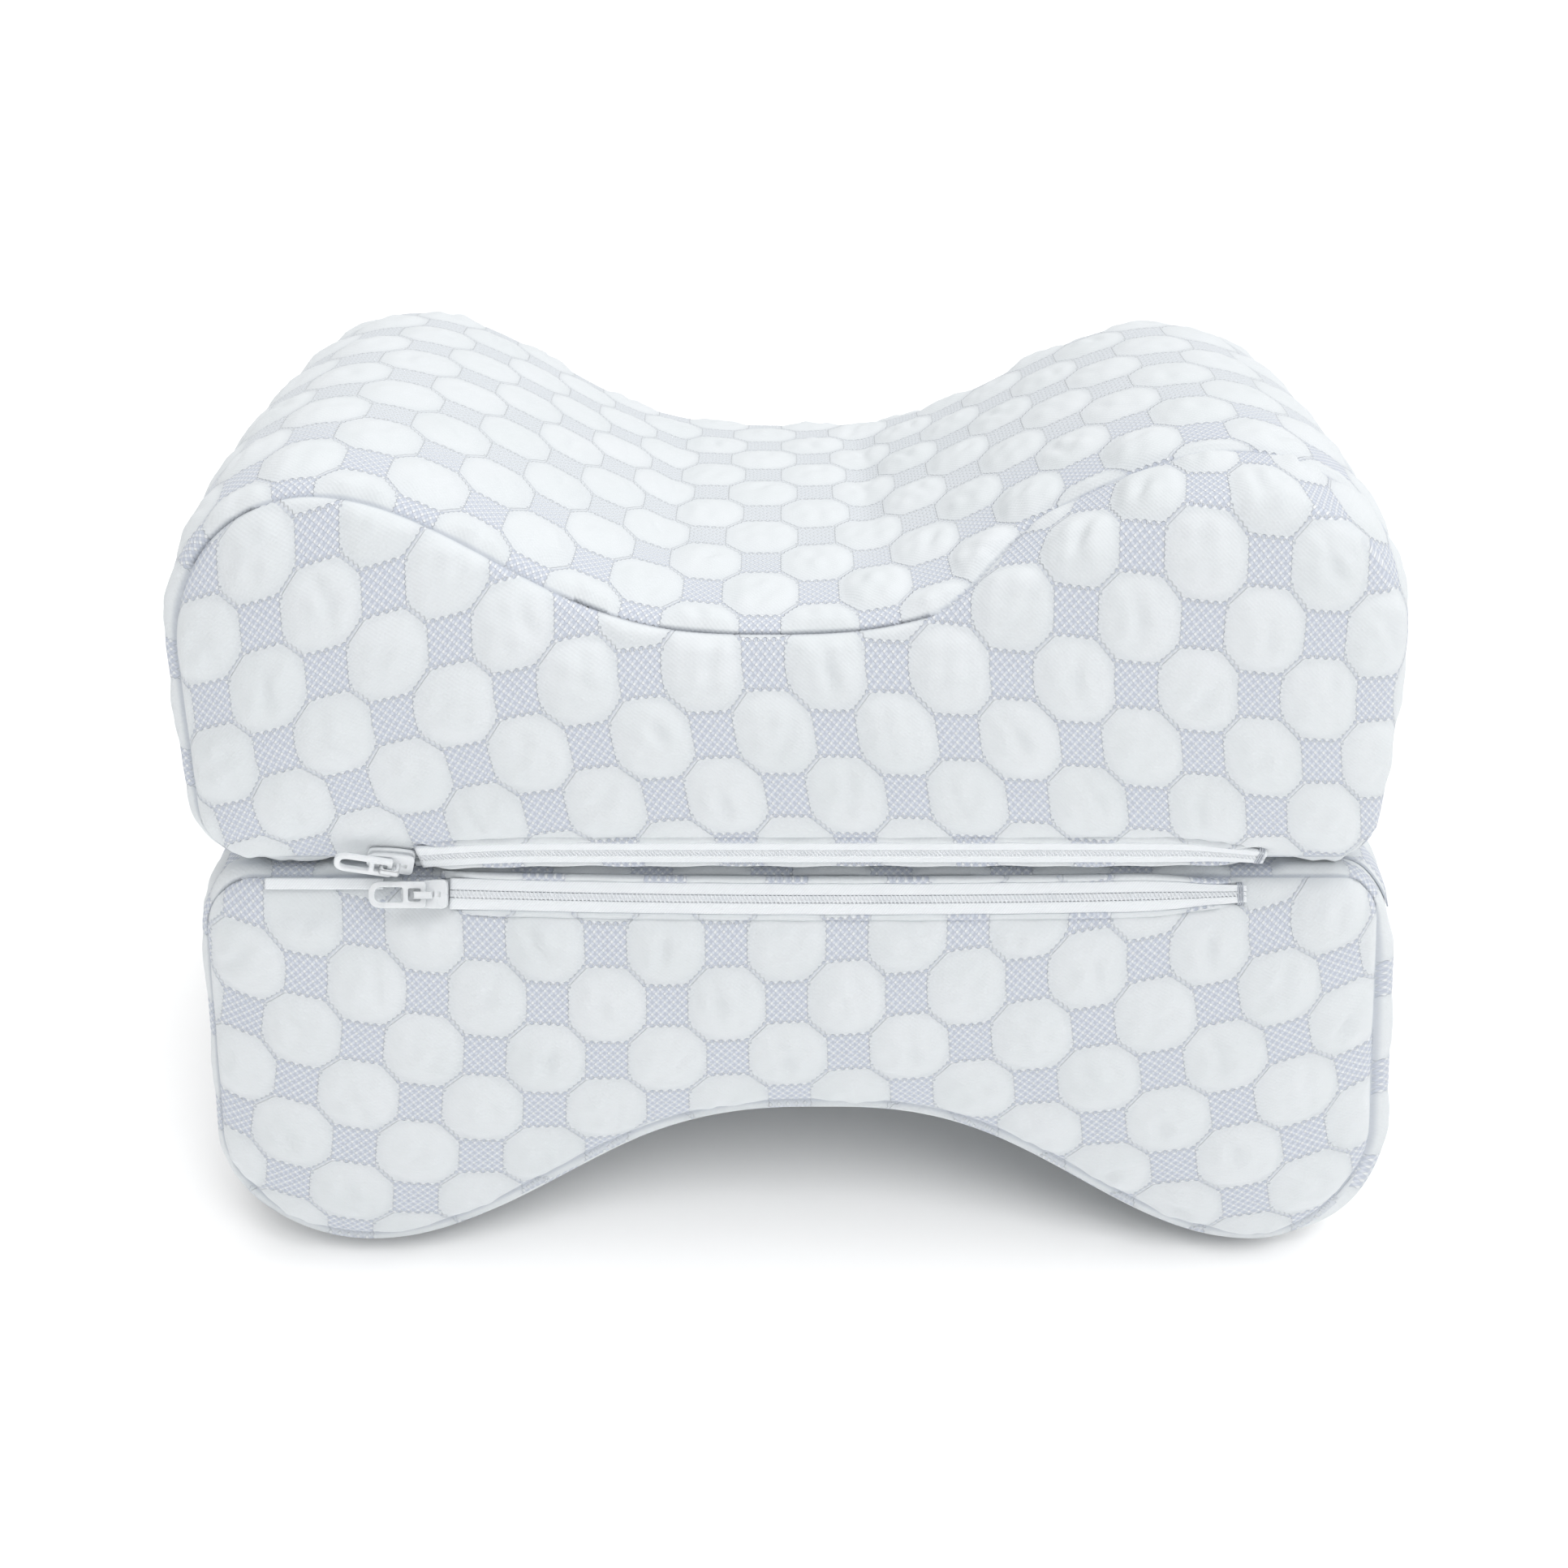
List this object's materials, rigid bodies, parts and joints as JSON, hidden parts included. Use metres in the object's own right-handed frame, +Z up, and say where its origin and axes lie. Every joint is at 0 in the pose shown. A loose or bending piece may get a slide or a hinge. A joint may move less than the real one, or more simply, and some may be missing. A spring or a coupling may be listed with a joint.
{
  "type": "folding knee pillow",
  "caption": "Hourglass knee pillow of two stacked quilted foam sections, saddle above and arch below, with a zip along each section and a side fold that joins them.",
  "frame": {"origin": "middle of the bounding box at the underside of the two feet", "axes": "+X to the right along the zips, +Y from the front with the zips to the back, +Z up"},
  "size_m": [0.252, 0.153, 0.1803],
  "materials": {
    "cover": "quilted double knit, soft white puffs and pale blue mesh squares",
    "zip_tape": "smooth woven tape",
    "zip_chain": "nylon coil",
    "slider_metal": "plated, lightly worn"
  },
  "bodies": {
    "root": {"upper_cushion": "cover", "lower_cushion": "cover", "side_fold": "cover", "lower_edge_facing": "zip_tape", "upper_zip_tape_top": "zip_tape", "upper_zip_chain": "zip_chain", "upper_zip_tape_bottom": "zip_tape", "upper_zip_slider": "slider_metal", "upper_zip_pull": "slider_metal", "lower_zip_tape_top": "zip_tape", "lower_zip_chain": "zip_chain", "lower_zip_tape_bottom": "zip_tape", "lower_zip_slider": "slider_metal", "lower_zip_pull": "slider_metal"}
  },
  "joints": []
}
